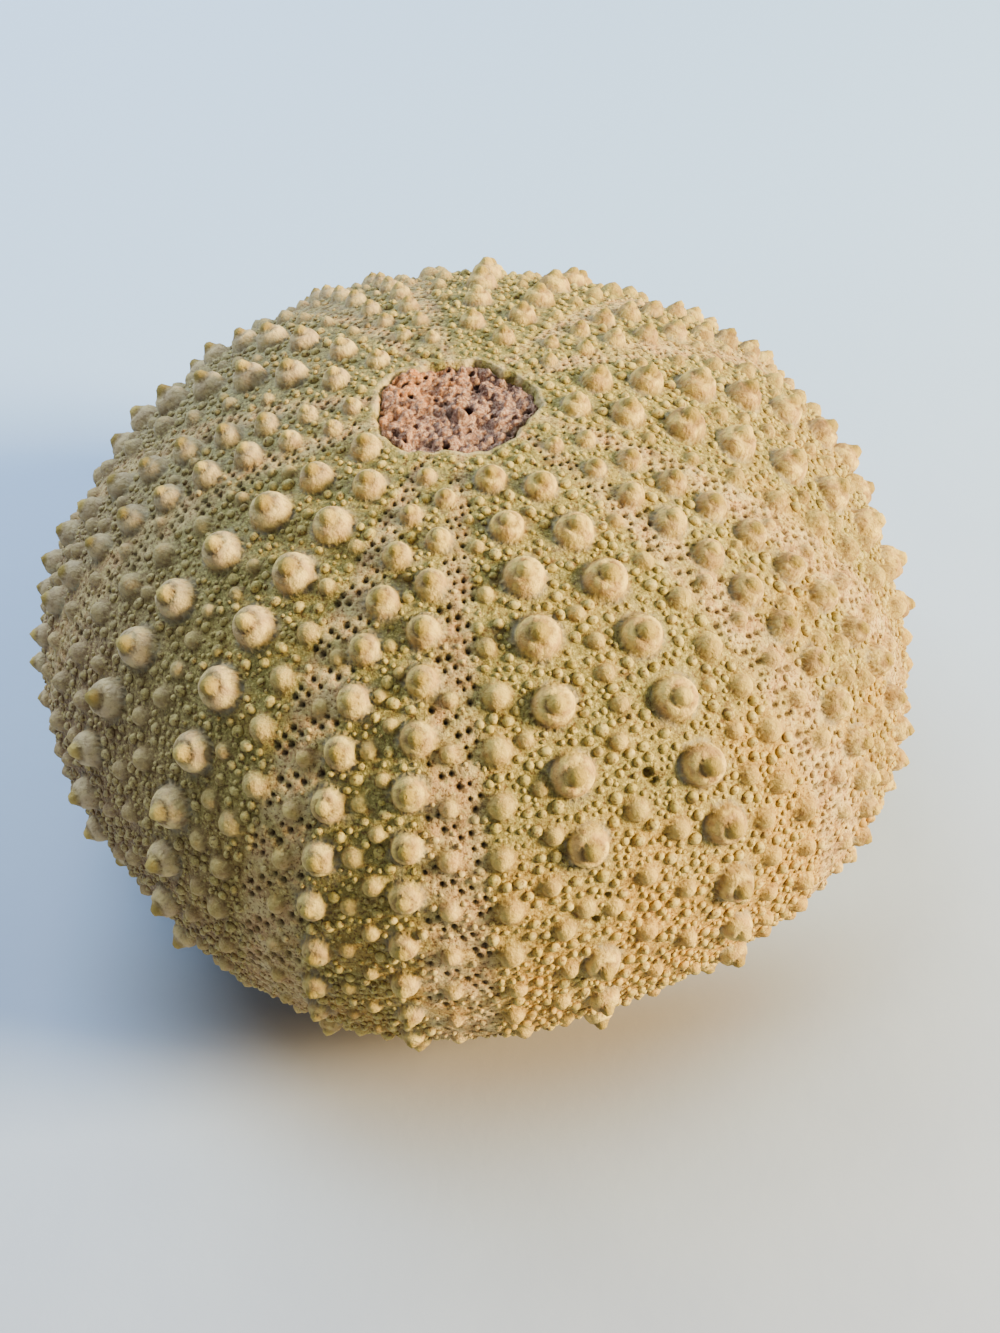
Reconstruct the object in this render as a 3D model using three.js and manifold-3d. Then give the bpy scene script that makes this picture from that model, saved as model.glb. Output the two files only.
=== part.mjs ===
// Fossil sea urchin: the domed test (shell) of a regular echinoid, filled with cemented rock.
// Millimetres, +Z up. The origin is under the centre, on the plane that the test rests on.
import * as THREE from 'three';
import { mergeVertices } from 'three/addons/utils/BufferGeometryUtils.js';
import Module from 'manifold-3d';

// Driving dimensions of the test.
const RADIUS = 28;              // mean radius at the ambitus, the widest level
const AMBITUS_Z = 12;           // height of the ambitus above the resting plane
const DOME_RISE = 20.1;         // from the ambitus to where the dome would close
const BASE_DROP = 13.6;         // from the ambitus to where the underside would close
const DOME_POWER = 2.084;       // superellipse powers of the two halves of the section
const BASE_POWER = 2.216;
const PENTAGON_BULGE = 0.018;   // the five ambulacra stand proud by this share of the radius
const FULL_BULGE_RADIUS = 25.2; // radius from which the bulge has its full size
const AMBULACRUM_TURN = -13.16; // degrees from -Y to the middle of the front ambulacrum

// Apical opening on top and mouth opening underneath, both filled with rock.
const APICAL_RADIUS = 4.7;
const APICAL_WALL_LEAN = 0.8;   // how much narrower the fill is than the rim
const APICAL_FILL_SINK = 0.9;   // depth of the fill below the rim
const APICAL_FILL_RISE = 0.3;   // how much the fill rises to its middle
const FLAT_OUTER_RADIUS = 14.6; // flat ring that the test rests on
const FLAT_INNER_RADIUS = 10.4;
const MOUTH_RADIUS = 8.4;
const MOUTH_LIP_Z = 0.9;
const MOUTH_WALL_LEAN = 0.6;
const MOUTH_FILL_Z = 1.9;
const MOUTH_FILL_RISE = 0.4;

// Facets of the body.
const SECTORS = 36;
const DOME_ROWS = 8;
const BASE_ROWS = 3;

const ZONES = 5;                // ambulacra, with an interambulacrum after each
const ZONE_STEP = 360 / ZONES;  // degrees
const ARC_STEP = 0.001;         // steps of the section's parameter when an arc is measured
const TURN_STEP = 0.01;         // steps when a normal is worked out

// Tubercles: two columns in each of the ten zones, alternating from side to side.
// A column's tubercles follow each other by a step that grows away from the apex.
const TUBERCLE_SINK = 0.7;
const INTERAMBULACRAL = {
  start: 6.4, firstStep: 1.38, stepGrowth: 0.024, lastStep: 1.9, end: 44, halfAngle: 8.7,
  sides: 5, baseRadius: 1.6, topRadius: 0.7, height: 0.9, knob: 0.4,
};
const AMBULACRAL = {
  start: 6.3, firstStep: 1.24, stepGrowth: 0.005, lastStep: 1.45, end: 34, halfAngle: 5.2,
  sides: 4, baseRadius: 1.25, topRadius: 0.5, height: 0.7, knob: 0.3,
};
const YOUNG_SIZE = 0.7;         // size of the tubercles nearest the apex, against full size
const FULL_SIZE_ARC = 14;       // arc from the apex at which they reach full size
const LOWER_SIZE = 0.75;        // size of the lowest tubercles, against full size
const SHRINK_START_ARC = 28;    // arcs between which they shrink towards the underside
const SHRINK_END_ARC = 42;

const wasm = await Module();
wasm.setup();

const DEGREE = Math.PI / 180;

// Half section of the outside, by arc parameter u: 0 at the apex, 1 at the ambitus, 2 at the lower pole.
function section(u) {
  const upper = u <= 1;
  const turn = (upper ? 1 - u : u - 1) * Math.PI / 2;
  const power = 2 / (upper ? DOME_POWER : BASE_POWER);
  const rise = Math.pow(Math.sin(turn), power) * (upper ? DOME_RISE : -BASE_DROP);
  return new THREE.Vector2(RADIUS * Math.pow(Math.max(Math.cos(turn), 0), power), AMBITUS_Z + rise);
}

// The five-sided bulge fades out over the resting ring and over the apex.
function bulge(radius, angle) {
  const fade = THREE.MathUtils.smoothstep(radius, FLAT_OUTER_RADIUS, FULL_BULGE_RADIUS);
  return 1 + PENTAGON_BULGE * fade * Math.cos(ZONES * (angle - AMBULACRUM_TURN * DEGREE));
}

// Angle runs from -Y towards +X.
function surfacePoint(u, angle) {
  const p = section(u);
  const radius = p.x * bulge(p.x, angle);
  return new THREE.Vector3(radius * Math.sin(angle), -radius * Math.cos(angle), p.y);
}

function surfaceNormal(u, angle) {
  const down = surfacePoint(u + TURN_STEP, angle).sub(surfacePoint(u - TURN_STEP, angle));
  const round = surfacePoint(u, angle + TURN_STEP).sub(surfacePoint(u, angle - TURN_STEP));
  return down.cross(round).normalize();
}

// Parameter u at a given arc length from the apex.
function parameterAtArc(arc) {
  let u = 0;
  let run = 0;
  while (run < arc && u < 2) {
    run += section(u + ARC_STEP).distanceTo(section(u));
    u += ARC_STEP;
  }
  return u;
}

// Parameter u at which the dome reaches a radius.
function parameterAtRadius(radius) {
  return 1 - Math.acos(Math.pow(radius / RADIUS, DOME_POWER / 2)) * 2 / Math.PI;
}

// Parameter u at which the underside reaches the resting plane.
function parameterAtRest() {
  return 1 + Math.asin(Math.pow(AMBITUS_Z / BASE_DROP, BASE_POWER / 2)) * 2 / Math.PI;
}

function bodyGeometry() {
  const rim = parameterAtRadius(APICAL_RADIUS);
  const rest = parameterAtRest();
  const rimZ = section(rim).y;
  const dome = Array.from({ length: DOME_ROWS + 1 }, (_, i) => section(rim + (1 - rim) * i / DOME_ROWS));
  const baseStep = (rest - 1) / BASE_ROWS;
  const base = Array.from({ length: BASE_ROWS - 1 }, (_, i) => section(1 + baseStep * (i + 1)));
  const profile = [
    new THREE.Vector2(0, rimZ - APICAL_FILL_SINK + APICAL_FILL_RISE),
    new THREE.Vector2(APICAL_RADIUS - APICAL_WALL_LEAN, rimZ - APICAL_FILL_SINK),
    ...dome,
    ...base,
    new THREE.Vector2(FLAT_OUTER_RADIUS, 0),
    new THREE.Vector2(FLAT_INNER_RADIUS, 0),
    new THREE.Vector2(MOUTH_RADIUS, MOUTH_LIP_Z),
    new THREE.Vector2(MOUTH_RADIUS - MOUTH_WALL_LEAN, MOUTH_FILL_Z),
    new THREE.Vector2(0, MOUTH_FILL_Z + MOUTH_FILL_RISE),
  ];
  const geometry = new THREE.LatheGeometry(profile.reverse(), SECTORS);
  geometry.rotateX(Math.PI / 2);
  const position = geometry.attributes.position;
  for (let i = 0; i < position.count; i += 1) {
    const x = position.getX(i);
    const y = position.getY(i);
    const scale = bulge(Math.hypot(x, y), Math.atan2(x, -y));
    position.setXY(i, x * scale, y * scale);
  }
  return geometry;
}

// One tubercle: a low boss with a small knob, its axis along +Y, sunk a little into the body.
function tubercleGeometry(zone, size) {
  const profile = [
    new THREE.Vector2(0, -TUBERCLE_SINK),
    new THREE.Vector2(zone.baseRadius * size, -TUBERCLE_SINK),
    new THREE.Vector2(zone.topRadius * size, zone.height * size),
    new THREE.Vector2(0, (zone.height + zone.knob) * size),
  ];
  return new THREE.LatheGeometry(profile, zone.sides);
}

function toSolid(geometry) {
  const bare = geometry.clone();
  bare.deleteAttribute('normal');
  bare.deleteAttribute('uv');
  const merged = mergeVertices(bare, 1e-4);
  return new wasm.Manifold(new wasm.Mesh({
    numProp: 3,
    vertProperties: new Float32Array(merged.attributes.position.array),
    triVerts: new Uint32Array(merged.index.array),
  }));
}

function toGeometry(solid) {
  const mesh = solid.getMesh();
  const geometry = new THREE.BufferGeometry();
  geometry.setAttribute('position', new THREE.BufferAttribute(mesh.vertProperties, 3));
  geometry.setIndex(new THREE.BufferAttribute(mesh.triVerts, 1));
  return geometry;
}

function tubercleSize(zone, arc) {
  const youngArc = Math.min(arc, FULL_SIZE_ARC);
  const young = THREE.MathUtils.mapLinear(youngArc, zone.start, FULL_SIZE_ARC, YOUNG_SIZE, 1);
  const lower = THREE.MathUtils.smoothstep(arc, SHRINK_START_ARC, SHRINK_END_ARC);
  return young * THREE.MathUtils.lerp(1, LOWER_SIZE, lower);
}

function placedTubercle(zone, middle, side, arc) {
  const size = tubercleSize(zone, arc);
  const u = parameterAtArc(arc);
  const angle = (middle + side * zone.halfAngle) * DEGREE;
  const normal = surfaceNormal(u, angle);
  const turn = new THREE.Quaternion().setFromUnitVectors(new THREE.Vector3(0, 1, 0), normal);
  const place = new THREE.Matrix4().compose(surfacePoint(u, angle), turn, new THREE.Vector3(1, 1, 1));
  return toSolid(tubercleGeometry(zone, size).applyMatrix4(place));
}

// Both columns of one zone: each tubercle is on the other side from the one before.
function zoneTubercles(zone, middle) {
  const solids = [];
  let side = -1;
  let arc = zone.start;
  while (arc < zone.end) {
    solids.push(placedTubercle(zone, middle, side, arc));
    arc += Math.min(zone.firstStep + zone.stepGrowth * arc, zone.lastStep);
    side = -side;
  }
  return solids;
}

function urchinTest() {
  let solid = toSolid(bodyGeometry());
  for (let i = 0; i < ZONES; i += 1) {
    const ambulacrum = AMBULACRUM_TURN + ZONE_STEP * i;
    const tubercles = zoneTubercles(AMBULACRAL, ambulacrum);
    tubercles.push(...zoneTubercles(INTERAMBULACRAL, ambulacrum + ZONE_STEP / 2));
    for (const tubercle of tubercles) solid = solid.add(tubercle);
  }
  const material = new THREE.MeshStandardMaterial({ color: 0xac966d, roughness: 0.85, metalness: 0 });
  const mesh = new THREE.Mesh(toGeometry(solid), material);
  mesh.name = 'urchin_test';
  return mesh;
}

const fossil = new THREE.Group();
fossil.add(urchinTest());

export default fossil;
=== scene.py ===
import math

import bpy
import numpy as np
from mathutils import Matrix, Vector, geometry, kdtree


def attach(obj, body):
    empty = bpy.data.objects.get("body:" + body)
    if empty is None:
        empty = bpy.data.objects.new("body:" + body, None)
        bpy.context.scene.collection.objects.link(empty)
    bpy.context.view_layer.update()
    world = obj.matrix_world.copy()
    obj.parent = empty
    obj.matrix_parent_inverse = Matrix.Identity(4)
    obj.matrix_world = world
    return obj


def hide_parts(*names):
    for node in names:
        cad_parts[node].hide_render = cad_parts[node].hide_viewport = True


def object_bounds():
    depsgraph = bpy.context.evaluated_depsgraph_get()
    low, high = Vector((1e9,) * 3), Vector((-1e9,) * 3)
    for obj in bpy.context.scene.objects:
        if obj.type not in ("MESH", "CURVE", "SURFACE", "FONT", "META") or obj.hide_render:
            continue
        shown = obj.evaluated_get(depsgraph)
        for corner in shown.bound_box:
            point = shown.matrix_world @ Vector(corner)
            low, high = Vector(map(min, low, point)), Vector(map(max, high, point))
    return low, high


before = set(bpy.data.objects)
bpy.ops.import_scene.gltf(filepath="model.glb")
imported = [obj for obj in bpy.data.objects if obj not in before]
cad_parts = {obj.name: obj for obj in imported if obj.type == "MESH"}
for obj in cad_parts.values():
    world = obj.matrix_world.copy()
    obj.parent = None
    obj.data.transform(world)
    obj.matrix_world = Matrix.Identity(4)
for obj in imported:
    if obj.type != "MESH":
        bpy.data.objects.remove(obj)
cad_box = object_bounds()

MM = 0.001
WIDTH = (cad_box[1].x - cad_box[0].x) / MM

# The test's section, as in the CAD model.
RADIUS = 0.4906 * WIDTH
AMBITUS_Z = 0.4286 * RADIUS
DOME_RISE = 0.718 * RADIUS
BASE_DROP = 0.4857 * RADIUS
DOME_POWER = 2.084
BASE_POWER = 2.216
PENTAGON_BULGE = 0.018
AMBULACRUM_TURN = math.radians(-13.16)
BULGE_START = 0.5               # share of the radius where the five-sided bulge begins
BULGE_FULL = 0.9                # and where it is full
FIFTH = math.radians(72)
SECTION_STEPS = 700             # points down each half of the section
REST_BLEND = 0.5                # softness of the turn from the underside to the ground at its foot

# Underside: the ground between the worn tubercles stands a little off the resting plane.
REST_GAP = 0.45
MOUTH_RADIUS = 8.4
MOUTH_LIP_RISE = 0.9
MOUTH_LIP_WIDTH = 2.6
MOUTH_DEPTH = 1.5

# Apical opening: an oval off to the front left, with soft corners along the interambulacra.
APICAL_RADIUS = 4.33
APICAL_SHIFT_LEFT = 0.51
APICAL_SHIFT_FRONT = 0.36
APICAL_OVAL = 0.42
APICAL_CORNER = 0.2
APICAL_DEPTH = 1.9
APICAL_RAGGED = [(0.07, 9, 1), (0.06, 17, 2), (0.05, 26, 0)]    # height, waves round, phase
WALL_SHARE = 0.14               # width of an opening's wall, as a share of the way to its middle
LIP_HEIGHT = 0.05

# Angles from the middle of an ambulacrum.
AMBULACRAL_COLUMN = math.radians(5.2)
PORE_ZONE_INNER = math.radians(7.2)
PORE_ZONE_OUTER = math.radians(14.6)
PORE_ZONE_EDGE = math.radians(1.0)
PORE_ZONE_TUBERCLE = math.radians(10.2)
AMBULACRAL_MIDDLE = math.radians(1.3)
SEAM_TURN = math.radians(15.3)

# Angles from the middle of an interambulacrum.
INTERAMBULACRAL_COLUMN = math.radians(8.7)
SECOND_COLUMN = math.radians(13.8)
ADRADIAL_COLUMN = math.radians(18.7)
INTERAMBULACRAL_MIDDLE = math.radians(2.3)

rng = np.random.default_rng(7)


# ---- the surface of the test

def smooth(low, high, value):
    share = np.clip((value - low) / (high - low), 0, 1)
    return share * share * (3 - 2 * share)


def section_points():
    """Radius and height down the outside, from the apex to the middle of the mouth."""
    turn = np.linspace(np.pi / 2, 0, SECTION_STEPS)
    dome_r = RADIUS * np.cos(turn) ** (2 / DOME_POWER)
    dome_z = AMBITUS_Z + DOME_RISE * np.sin(turn) ** (2 / DOME_POWER)
    turn = np.linspace(0, np.pi / 2, SECTION_STEPS)[1:]
    base_r = RADIUS * np.cos(turn) ** (2 / BASE_POWER)
    base_z = AMBITUS_Z - BASE_DROP * np.sin(turn) ** (2 / BASE_POWER)
    ground = REST_GAP + MOUTH_LIP_RISE * smooth(MOUTH_RADIUS + MOUTH_LIP_WIDTH, MOUTH_RADIUS, base_r)
    base_z = ground + REST_BLEND * np.logaddexp(0, (base_z - ground) / REST_BLEND)
    return np.r_[dome_r, base_r], np.r_[dome_z, base_z]


SECTION_R, SECTION_Z = section_points()
SECTION_ARC = np.r_[0, np.cumsum(np.hypot(np.diff(SECTION_R), np.diff(SECTION_Z)))]
SLOPE_R = np.gradient(SECTION_R, SECTION_ARC)
SLOPE_Z = np.gradient(SECTION_Z, SECTION_ARC)
ARC_TOTAL = SECTION_ARC[-1]
ARC_AMBITUS = SECTION_ARC[SECTION_STEPS - 1]
ARC_MOUTH = float(np.interp(-MOUTH_RADIUS, -SECTION_R[SECTION_STEPS:], SECTION_ARC[SECTION_STEPS:]))


def radius_at(arc):
    return np.interp(arc, SECTION_ARC, SECTION_R)


def fifths(angle):
    """Angle from the middle of the nearest ambulacrum."""
    return (angle - AMBULACRUM_TURN + FIFTH / 2) % FIFTH - FIFTH / 2


def apical_rim(angle):
    """Arc length from the apex to the edge of the apical opening."""
    ragged = sum(height * np.sin(count * angle + phase) for height, count, phase in APICAL_RAGGED)
    corner = APICAL_CORNER * np.cos(5 * (angle - AMBULACRUM_TURN - FIFTH / 2))
    shift = APICAL_SHIFT_FRONT * np.cos(angle) - APICAL_SHIFT_LEFT * np.sin(angle)
    return APICAL_RADIUS + shift - APICAL_OVAL * np.cos(2 * angle) + corner + ragged


def surface(arc, angle):
    """Point and outward normal on the smooth test."""
    r = np.interp(arc, SECTION_ARC, SECTION_R)
    z = np.interp(arc, SECTION_ARC, SECTION_Z)
    out_r = -np.interp(arc, SECTION_ARC, SLOPE_Z)
    out_z = np.interp(arc, SECTION_ARC, SLOPE_R)
    bulge = PENTAGON_BULGE * smooth(BULGE_START * RADIUS, BULGE_FULL * RADIUS, r)
    r = r * (1 + bulge * np.cos(5 * (angle - AMBULACRUM_TURN)))
    east, north = np.sin(angle), -np.cos(angle)
    place = np.stack([r * east, r * north, z], axis=-1)
    normal = np.stack([out_r * east, out_r * north, out_z], axis=-1)
    return place, normal / np.linalg.norm(normal, axis=-1, keepdims=True)


def waves(place, wavelength, seed, count=7):
    """Smooth seeded noise over points in space, about -1 to 1."""
    draw = np.random.default_rng(seed)
    total = np.zeros(len(place))
    for _ in range(count):
        direction = draw.normal(size=3)
        direction *= 2 * np.pi / wavelength / np.linalg.norm(direction) * draw.uniform(0.7, 1.4)
        total += np.sin(place @ direction + draw.uniform(0, 2 * np.pi))
    return total / math.sqrt(2 * count)


# ---- what stands on it

# A profile runs outwards in: distance from the middle and height, as shares of the boss radius,
# and how many points its ring has.
PROFILES = {
    "primary": [(1.24, 0.00, 18), (1.06, -0.05, 20), (0.97, 0.12, 22), (0.88, 0.42, 20), (0.72, 0.66, 16),
                (0.56, 0.74, 14), (0.46, 0.71, 12), (0.38, 0.93, 11), (0.24, 1.12, 8), (0, 1.18, 1)],
    "middle": [(1.22, 0.00, 14), (1.04, -0.03, 16), (0.95, 0.16, 16), (0.82, 0.52, 14), (0.58, 0.74, 12),
               (0.46, 0.73, 10), (0.36, 0.97, 9), (0, 1.18, 1)],
    "small": [(1.14, 0.00, 9), (0.97, 0.12, 10), (0.78, 0.56, 10), (0.45, 0.85, 6), (0, 1.05, 1)],
    "pore": [(1.50, 0.12, 7), (0.90, -0.60, 5), (0, -2.0, 1)],
    "pit": [(1.3, 0.05, 12), (1.02, -0.10, 12), (0.75, -0.9, 10), (0.4, -1.5, 7), (0, -1.6, 1)],
}

# How each kind stands: height against its profile's, the reach that others keep out of against its
# size, and its crowding, where a lower one lets it come nearer to what is there already.
PRIMARY_FIT = (1.04, 1.15, 0.8)
MIDDLE_FIT = (1.08, 1.08, 0.85)
SMALL_FIT = (0.98, 1.05, 0.93)
TIGHT_SMALL_FIT = (0.98, 1.05, 0.9)
PORE_FIT = (1.0, 1.25, 0.93)
DEEP_PIT_FIT = (0.8, 1.0, 0.5)
SHALLOW_PIT_FIT = (0.7, 1.0, 0.5)
STUMP_FIT = (0.75, 1.0, 1.0)
LOW_STUMP_FIT = (0.7, 1.0, 1.0)
CHIP_FIT = (0.8, 1.0, 1.0)

PRIMARY_SIZE = 1.22
MIDDLE_SIZE = 0.92
PORE_SIZE = 0.175

# Steps between plates: the first, how fast they grow with the arc, and the longest.
AMBULACRAL_START = 6.3
AMBULACRAL_STEP = (1.24, 0.005, 1.45)
INTERAMBULACRAL_START = 6.4
INTERAMBULACRAL_STEP = (1.38, 0.024, 1.9)

# Arcs between which things change: young columns spread, young bumps grow, all shrink below the
# widest level, and all draw together towards the mouth.
COLUMNS_SPREAD = (6, 12)
YOUNG_MIDDLES = (7, 15)
YOUNG_PORES = (6, 14)
YOUNG_BUMPS = (5, 15)
LOWER_BUMPS = (28, 40)
MOUTH_SIDE = (44, 60)
MOUTH_CLOSING = 0.25            # share that the steps lose by the mouth

# Damage in the front right interambulacrum: a pit by its midline and a tubercle broken in two.
PIT_ARC = 24.9
PIT_TURN = 0.02
PIT_SIZE = 0.36
BROKEN_ARC = 31.0


def plate_step(arc, steps):
    first, gain, longest = steps
    return min(first + gain * arc, longest) * (1 - MOUTH_CLOSING * smooth(*MOUTH_SIDE, arc))


def column_arcs(start, steps):
    """Arcs of the tubercles that alternate between a zone's two columns."""
    arcs = [start]
    while arcs[-1] < ARC_MOUTH - 1.2:
        arcs.append(arcs[-1] + plate_step(arcs[-1], steps))
    return arcs


def growth(arc):
    """Size of a tubercle against the largest: young ones near the apex, small ones by the mouth."""
    young = 0.7 + 0.3 * smooth(*YOUNG_BUMPS, arc)
    lower = 1 - 0.22 * smooth(*LOWER_BUMPS, arc)
    return young * lower * (1 - 0.35 * smooth(*MOUTH_SIDE, arc))


def spread(arc):
    """How far apart a zone's columns stand against their full angle: a little wider by the apex."""
    return 1.1 - 0.1 * smooth(*COLUMNS_SPREAD, arc)


class Bumps:
    """Tubercles and pores that keep clear of each other."""

    ROOM = 6000

    def __init__(self):
        self.rows = []
        self.places = np.zeros((self.ROOM, 3))
        self.reaches = np.zeros(self.ROOM)

    def add(self, kind, arc, angle, size, fit):
        """Adds a bump, unless an opening or another bump is in its way."""
        height, reach, crowding = fit
        if arc - size * 1.1 < apical_rim(angle) or arc + size > ARC_MOUTH:
            return
        place = surface(arc, angle)[0]
        count = len(self.rows)
        gaps = np.linalg.norm(self.places[:count] - place, axis=1)
        if (gaps < size * reach * crowding + self.reaches[:count] * crowding).any():
            return
        self.places[count] = place
        self.reaches[count] = size * reach
        self.rows.append((kind, arc, angle, size, height))


def far_share(angle):
    """Tubercles on the far side are a little smaller."""
    return 1 - 0.15 * smooth(0.1, 0.8, -math.cos(angle))


def lay_tubercles():
    bumps = Bumps()
    series = []
    for fifth in range(5):
        middle = AMBULACRUM_TURN + FIFTH * fifth
        ambulacral = column_arcs(AMBULACRAL_START, AMBULACRAL_STEP)
        interambulacral = column_arcs(INTERAMBULACRAL_START, INTERAMBULACRAL_STEP)
        series.append((middle, ambulacral, interambulacral))
        for k, arc in enumerate(interambulacral):
            side = 1 if k % 2 else -1
            angle = middle + FIFTH / 2 + side * INTERAMBULACRAL_COLUMN * spread(arc)
            size = PRIMARY_SIZE * growth(arc) * rng.uniform(0.95, 1.04) * far_share(angle)
            if fifth == 0 and side < 0 and abs(arc - BROKEN_ARC) < 1:
                lay_broken(bumps, arc, angle)
                continue
            place = (arc + rng.normal(0, 0.08), angle + rng.normal(0, 0.006))
            bumps.add("primary", *place, size, PRIMARY_FIT)
        for k, arc in enumerate(ambulacral):
            side = 1 if k % 2 else -1
            angle = middle + side * AMBULACRAL_COLUMN * spread(arc)
            size = MIDDLE_SIZE * growth(arc) * rng.uniform(0.94, 1.05)
            size *= 0.87 + 0.13 * smooth(*YOUNG_MIDDLES, arc)
            size *= far_share(angle)
            place = (arc + rng.normal(0, 0.07), angle + rng.normal(0, 0.005))
            bumps.add("middle", *place, size, MIDDLE_FIT)
    pit_angle = AMBULACRUM_TURN + FIFTH / 2 + PIT_TURN
    bumps.add("pit", PIT_ARC - 0.22, pit_angle - 0.003, PIT_SIZE, DEEP_PIT_FIT)
    bumps.add("pit", PIT_ARC + 0.22, pit_angle + 0.003, PIT_SIZE, SHALLOW_PIT_FIT)
    for middle, ambulacral, interambulacral in series:
        lay_secondaries(bumps, middle, ambulacral, interambulacral)
    for middle, ambulacral, _ in series:
        lay_pores(bumps, middle, ambulacral)
    return bumps


def lay_broken(bumps, arc, angle):
    """What is left of a broken tubercle: two worn stumps with pits beside them."""
    bumps.add("small", arc - 0.25, angle - 0.028, 0.62, STUMP_FIT)
    bumps.add("small", arc + 0.3, angle + 0.03, 0.55, LOW_STUMP_FIT)
    bumps.add("pit", arc + 0.75, angle - 0.012, 0.3, CHIP_FIT)
    bumps.add("pit", arc - 0.55, angle + 0.02, 0.24, CHIP_FIT)


# Columns of secondary tubercles: angle, arc where they start, and sizes there and ten further on.
SECONDARY_COLUMNS = [(ADRADIAL_COLUMN, 10.8, 0.42, 0.76), (SECOND_COLUMN, 21.0, 0.45, 0.66)]
SECONDARY_STEP = 2.75
SIDE_STAGGER = 0.9
MIDLINE_START = 13              # arcs where the tubercles between the columns begin
PORE_TUBERCLE_START = 16


def lay_secondaries(bumps, middle, ambulacral, interambulacral):
    between = middle + FIFTH / 2
    for side in (-1, 1):
        for column, start, low, high in SECONDARY_COLUMNS:
            arc = start + (SIDE_STAGGER if side > 0 else 0) + rng.uniform(-0.3, 0.3)
            while arc < ARC_MOUTH - 1:
                size = (low + (high - low) * smooth(start, start + 10, arc)) * growth(max(arc, 15))
                size *= rng.uniform(0.88, 1.08)
                bumps.add("small", arc, between + side * column + rng.normal(0, 0.012), size, SMALL_FIT)
                arc += SECONDARY_STEP * (1 - MOUTH_CLOSING * smooth(*MOUTH_SIDE, arc)) + rng.normal(0, 0.12)
    for k, arc in enumerate(interambulacral):
        side = 1 if k % 2 else -1
        if arc < MIDLINE_START:
            continue
        size = (0.46 + 0.2 * smooth(13, 28, arc)) * growth(arc) * rng.uniform(0.85, 1.1)
        offset = -side * INTERAMBULACRAL_MIDDLE * smooth(20, 30, arc) + rng.normal(0, 0.01)
        bumps.add("small", arc + 0.95, between + offset, size, SMALL_FIT)
    for k, arc in enumerate(ambulacral):
        side = 1 if k % 2 else -1
        if arc > MIDLINE_START:
            size = (0.34 + 0.2 * smooth(13, 28, arc)) * growth(arc) * rng.uniform(0.85, 1.15)
            bumps.add("small", arc + 0.9, middle - side * AMBULACRAL_MIDDLE, size, TIGHT_SMALL_FIT)
        if arc > PORE_TUBERCLE_START:
            size = (0.42 + 0.16 * smooth(16, 28, arc)) * growth(arc) * rng.uniform(0.9, 1.1)
            bumps.add("small", arc + 0.8, middle + side * PORE_ZONE_TUBERCLE, size, SMALL_FIT)


# Five pairs of pores cross each plate: share of the plate's height below its tubercle, and angle.
PAIRS = [(0.45, 8.0), (0.68, 10.0), (0.89, 12.1), (1.11, 13.3), (1.33, 14.0)]
PAIR_GAP = 0.52
PAIR_TILT = 0.17


def lay_pores(bumps, middle, ambulacral):
    first_step = AMBULACRAL_STEP[0]
    first_arcs = [AMBULACRAL_START - 2 * first_step, AMBULACRAL_START - first_step]
    for k, arc in enumerate(first_arcs + ambulacral):
        side = 1 if k % 2 else -1
        plate = 2 * plate_step(arc, AMBULACRAL_STEP)
        young = 0.8 + 0.2 * smooth(*YOUNG_PORES, arc)
        size = PORE_SIZE * young
        for share, degrees in PAIRS:
            pair_arc = arc + share * plate + rng.normal(0, 0.07)
            pair_angle = math.radians(degrees + rng.normal(0, 0.25))
            half = PAIR_GAP / 2 / radius_at(pair_arc) * young
            for outer in (-1, 1):
                pore_arc = pair_arc - outer * PAIR_TILT / 2 + rng.normal(0, 0.035)
                pore_angle = middle + side * (pair_angle + outer * half)
                bumps.add("pore", pore_arc, pore_angle, size * rng.uniform(0.72, 1.2), PORE_FIT)


# ---- the test's mesh

UNDERSIDE_ARC = 44
UNDERSIDE_THINNING = 0.62       # share of the ring points that bumps on the underside keep
FEWEST_RING_POINTS = 5
RING_TWIST = 7                  # turns each ring against its neighbours, in radians per share
FILL_SPACING = 0.62
UNDERSIDE_SPACING = 0.8
FILL_START = 4.0
FILL_JITTER = 0.2               # share of the spacing
ROW_STEP = 0.87                 # distance between rows against the spacing in a row
FILL_GAP = 0.14


def ring_points(kind, arc, angle, size):
    """Arcs, angles and distance shares of one bump's rings. The underside has fewer points."""
    arcs, angles, shares = [], [], []
    thinning = UNDERSIDE_THINNING if arc > UNDERSIDE_ARC else 1
    for share, _, count in PROFILES[kind]:
        if count > 1:
            count = max(FEWEST_RING_POINTS, round(count * thinning))
        turn = np.arange(count) / count * 2 * np.pi + share * RING_TWIST
        offset = share * size
        ring_arc = arc + offset * np.sin(turn)
        arcs.append(ring_arc)
        angles.append(angle + offset * np.cos(turn) / radius_at(ring_arc))
        shares.append(np.full(count, share))
    return np.concatenate(arcs), np.concatenate(angles), np.concatenate(shares)


def rings(shares_and_counts, arc_of_share):
    """Rings of points round an opening."""
    arcs, angles = [], []
    for share, count in shares_and_counts:
        turn = (np.arange(count) + 0.5 * (count % 3)) / count * 2 * np.pi
        arcs.append(arc_of_share(share, turn))
        angles.append(turn)
    return np.concatenate(arcs), np.concatenate(angles)


# Distance from an opening's middle as a share of its edge, and points in the ring.
APICAL_RINGS = [(1.06, 100), (1.02, 120), (0.99, 120), (0.96, 120), (0.92, 100), (0.87, 80), (0.8, 50),
                (0.5, 26), (0.2, 8)]
MOUTH_RINGS = [(1.03, 130), (1.0, 140), (0.97, 130), (0.93, 120), (0.87, 90), (0.75, 50), (0.4, 24)]


def mouth_arc(share, turn):
    return ARC_TOTAL - share * (ARC_TOTAL - ARC_MOUTH) * np.ones_like(turn)


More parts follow.
